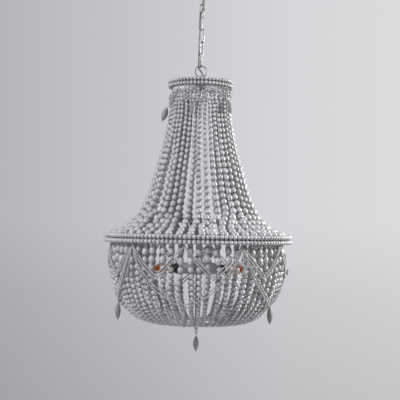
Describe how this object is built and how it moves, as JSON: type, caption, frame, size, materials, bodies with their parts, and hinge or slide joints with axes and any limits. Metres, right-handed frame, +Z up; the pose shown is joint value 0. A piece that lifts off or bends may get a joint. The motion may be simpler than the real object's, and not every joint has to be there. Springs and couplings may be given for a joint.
{
  "type": "beaded chandelier",
  "caption": "Chandelier of graded wood bead strands from a small crown over a wide hoop to a bowl, with swags, drops and candle lamps, hung on a link chain and ring.",
  "frame": {"origin": "middle of the ceiling bracket's top face, on the ceiling", "axes": "+Z up, out of the bracket's face into the ceiling, with the chandelier hanging towards -Z; the view in the picture is along +Y"},
  "size_m": [0.6, 0.6, 1.2055],
  "materials": {
    "steel": "satin grey plating",
    "grey_paint": "matt grey",
    "wood": "grey wash",
    "black_plastic": "matt",
    "cord_cover": "matt",
    "amber_glass": "clear amber"
  },
  "bodies": {
    "ceiling_fitting": {"ceiling_bracket": "steel", "canopy_cup": "steel", "canopy_loop": "steel", "cord_grommet": "black_plastic", "terminal_block": "black_plastic", "supply_cord": "cord_cover"},
    "link_1": {"chain_link_1": "steel"},
    "link_2": {"chain_link_2": "steel"},
    "link_3": {"chain_link_3": "steel"},
    "link_4": {"chain_link_4": "steel"},
    "link_5": {"chain_link_5": "steel"},
    "link_6": {"chain_link_6": "steel"},
    "ring": {"hanging_ring": "steel"},
    "chandelier": {"stem_loop": "steel", "stem": "steel", "crown_frame": "grey_paint", "hoop_frame": "grey_paint", "base_frame": "grey_paint", "stem_nut": "steel", "lamp_cluster": "grey_paint", "lamp_holder_1": "black_plastic", "lamp_holder_2": "black_plastic", "lamp_holder_3": "black_plastic", "crown_beads_upper": "wood", "crown_beads_lower": "wood", "hoop_beads_upper": "wood", "hoop_beads_lower": "wood", "cone_strands_1": "wood", "cone_strands_2": "wood", "cone_strands_3": "wood", "cone_strands_4": "wood", "cone_strands_5": "wood", "basket_strands_1": "wood", "basket_strands_2": "wood", "basket_strands_3": "wood", "basket_strands_4": "wood", "basket_strands_5": "wood", "crown_swags": "wood", "basket_swags": "wood", "finial_beads": "wood"},
    "crown_drop_1": {"crown_drop_1": "wood"},
    "crown_drop_2": {"crown_drop_2": "wood"},
    "crown_drop_3": {"crown_drop_3": "wood"},
    "crown_drop_4": {"crown_drop_4": "wood"},
    "crown_drop_5": {"crown_drop_5": "wood"},
    "basket_drop_1": {"basket_drop_1": "wood"},
    "basket_drop_2": {"basket_drop_2": "wood"},
    "basket_drop_3": {"basket_drop_3": "wood"},
    "basket_drop_4": {"basket_drop_4": "wood"},
    "basket_drop_5": {"basket_drop_5": "wood"},
    "tassel_drop_1": {"tassel_drop_1": "wood"},
    "tassel_drop_2": {"tassel_drop_2": "wood"},
    "tassel_drop_3": {"tassel_drop_3": "wood"},
    "tassel_drop_4": {"tassel_drop_4": "wood"},
    "tassel_drop_5": {"tassel_drop_5": "wood"},
    "finial_drop": {"finial_drop": "wood"},
    "bulb_1": {"bulb_1": "amber_glass"},
    "bulb_2": {"bulb_2": "amber_glass"},
    "bulb_3": {"bulb_3": "amber_glass"}
  },
  "joints": [
    {"name": "link_1_swing", "type": "hinge", "parent": "ceiling_fitting", "child": "link_1", "pos_m": [0, 0, -0.0602], "axis": [1, 0, 0], "range_deg": [-20, 20], "deforming": ["supply_cord"]},
    {"name": "link_2_swing", "type": "hinge", "parent": "link_1", "child": "link_2", "pos_m": [0, 0, -0.0993], "axis": [0, 1, 0], "range_deg": [-20, 20]},
    {"name": "link_3_swing", "type": "hinge", "parent": "link_2", "child": "link_3", "pos_m": [0, 0, -0.139], "axis": [1, 0, 0], "range_deg": [-20, 20]},
    {"name": "link_4_swing", "type": "hinge", "parent": "link_3", "child": "link_4", "pos_m": [0, 0, -0.1787], "axis": [0, 1, 0], "range_deg": [-20, 20]},
    {"name": "link_5_swing", "type": "hinge", "parent": "link_4", "child": "link_5", "pos_m": [0, 0, -0.2184], "axis": [1, 0, 0], "range_deg": [-20, 20]},
    {"name": "link_6_swing", "type": "hinge", "parent": "link_5", "child": "link_6", "pos_m": [0, 0, -0.2581], "axis": [0.6428, 0.766, 0], "range_deg": [-20, 20]},
    {"name": "ring_swing", "type": "hinge", "parent": "link_6", "child": "ring", "pos_m": [0, 0, -0.2978], "axis": [-0.1736, 0.9848, 0], "range_deg": [-20, 20]},
    {"name": "chandelier_swing", "type": "hinge", "parent": "ring", "child": "chandelier", "pos_m": [0, 0, -0.3299], "axis": [1, 0, 0], "range_deg": [-20, 20]},
    {"name": "crown_drop_1_swing", "type": "hinge", "parent": "chandelier", "child": "crown_drop_1", "pos_m": [-0.02271, -0.10244, -0.4191], "axis": [-0.2164, -0.9763, 0], "range_deg": [-30, 30]},
    {"name": "crown_drop_2_swing", "type": "hinge", "parent": "chandelier", "child": "crown_drop_2", "pos_m": [0.08343, -0.06287, -0.4041], "axis": [0.7986, -0.6018, 0], "range_deg": [-30, 30]},
    {"name": "crown_drop_3_swing", "type": "hinge", "parent": "chandelier", "child": "crown_drop_3", "pos_m": [0.08212, 0.06532, -0.4191], "axis": [0.7826, 0.6225, 0], "range_deg": [-30, 30]},
    {"name": "crown_drop_4_swing", "type": "hinge", "parent": "chandelier", "child": "crown_drop_4", "pos_m": [-0.05326, 0.09041, -0.4191], "axis": [-0.5075, 0.8616, 0], "range_deg": [-30, 30]},
    {"name": "crown_drop_5_swing", "type": "hinge", "parent": "chandelier", "child": "crown_drop_5", "pos_m": [-0.10353, -0.02295, -0.4281], "axis": [-0.9763, -0.2164, 0], "range_deg": [-30, 30]},
    {"name": "basket_drop_1_swing", "type": "hinge", "parent": "chandelier", "child": "basket_drop_1", "pos_m": [-0.03484, -0.24788, -1.0492], "axis": [-0.1392, -0.9903, 0], "range_deg": [-35, 35]},
    {"name": "basket_drop_2_swing", "type": "hinge", "parent": "chandelier", "child": "basket_drop_2", "pos_m": [0.22498, -0.10973, -1.0492], "axis": [0.8988, -0.4384, 0], "range_deg": [-35, 35]},
    {"name": "basket_drop_3_swing", "type": "hinge", "parent": "chandelier", "child": "basket_drop_3", "pos_m": [0.17388, 0.18006, -1.0492], "axis": [0.6947, 0.7193, 0], "range_deg": [-35, 35]},
    {"name": "basket_drop_4_swing", "type": "hinge", "parent": "chandelier", "child": "basket_drop_4", "pos_m": [-0.11751, 0.22101, -1.0492], "axis": [-0.4695, 0.8829, 0], "range_deg": [-35, 35]},
    {"name": "basket_drop_5_swing", "type": "hinge", "parent": "chandelier", "child": "basket_drop_5", "pos_m": [-0.24651, -0.04347, -1.0492], "axis": [-0.9848, -0.1736, 0], "range_deg": [-35, 35]},
    {"name": "tassel_drop_1_swing", "type": "hinge", "parent": "chandelier", "child": "tassel_drop_1", "pos_m": [0.13301, -0.25016, -0.8726], "axis": [0.4695, -0.8829, 0], "range_deg": [-20, 20]},
    {"name": "tassel_drop_2_swing", "type": "hinge", "parent": "chandelier", "child": "tassel_drop_2", "pos_m": [0.27902, 0.0492, -0.8726], "axis": [0.9848, 0.1736, 0], "range_deg": [-20, 20]},
    {"name": "tassel_drop_3_swing", "type": "hinge", "parent": "chandelier", "child": "tassel_drop_3", "pos_m": [0.03943, 0.28057, -0.8726], "axis": [0.1392, 0.9903, 0], "range_deg": [-20, 20]},
    {"name": "tassel_drop_4_swing", "type": "hinge", "parent": "chandelier", "child": "tassel_drop_4", "pos_m": [-0.25465, 0.1242, -0.8726], "axis": [-0.8988, 0.4384, 0], "range_deg": [-20, 20]},
    {"name": "tassel_drop_5_swing", "type": "hinge", "parent": "chandelier", "child": "tassel_drop_5", "pos_m": [-0.19682, -0.20381, -0.8726], "axis": [-0.6947, -0.7193, 0], "range_deg": [-20, 20]},
    {"name": "finial_drop_swing", "type": "hinge", "parent": "chandelier", "child": "finial_drop", "pos_m": [0, 0, -1.15085], "axis": [1, 0, 0], "range_deg": [-35, 35]},
    {"name": "bulb_1_withdraw", "type": "slide", "parent": "chandelier", "child": "bulb_1", "axis": [0.8988, -0.4384, 0], "range_m": [0, 0.03]},
    {"name": "bulb_2_withdraw", "type": "slide", "parent": "chandelier", "child": "bulb_2", "axis": [-0.0698, 0.9976, 0], "range_m": [0, 0.03]},
    {"name": "bulb_3_withdraw", "type": "slide", "parent": "chandelier", "child": "bulb_3", "axis": [-0.829, -0.5592, 0], "range_m": [0, 0.03]}
  ]
}
